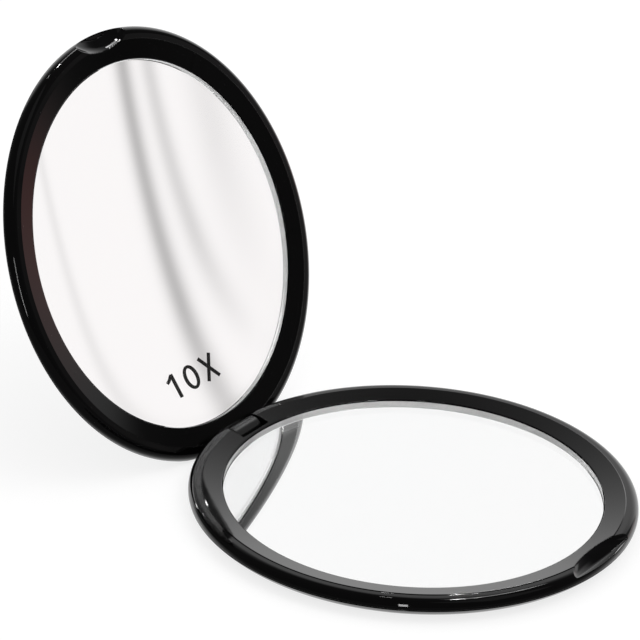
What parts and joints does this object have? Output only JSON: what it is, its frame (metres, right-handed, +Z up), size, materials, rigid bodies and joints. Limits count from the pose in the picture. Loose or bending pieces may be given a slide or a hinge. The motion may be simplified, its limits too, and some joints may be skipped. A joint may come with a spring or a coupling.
{
  "type": "compact mirror",
  "caption": "Round folding pocket mirror, shown open, with a flat mirror in the lower half and a magnifying mirror in the upper half.",
  "frame": {"origin": "centre of the flat back of the lower half, where it rests on a table", "axes": "+Z up, +Y from the centre of the lower half towards the hinge, +X along the hinge pin, to the right when the user faces the open mirror"},
  "size_m": [0.085, 0.1214, 0.0756],
  "materials": {
    "black_plastic": "polished moulded plastic",
    "mirror_glass": "silvered glass",
    "plated_metal": "bright plated",
    "adhesive": "double-sided film"
  },
  "bodies": {
    "base": {"base_shell": "black_plastic", "base_frame": "black_plastic", "base_mirror_tape": "adhesive", "base_mirror": "mirror_glass", "catch_magnets": "plated_metal", "hinge_pin": "plated_metal"},
    "lid": {"lid_shell": "black_plastic", "lid_frame": "black_plastic", "lid_mirror_tape": "adhesive", "lid_mirror": "mirror_glass", "catch_keepers": "plated_metal"}
  },
  "joints": [
    {"name": "lid_hinge", "type": "hinge", "parent": "base", "child": "lid", "pos_m": [0, 0.0399, 0.0024], "axis": [-1, 0, 0], "range_deg": [-114.5, 5.5]}
  ]
}
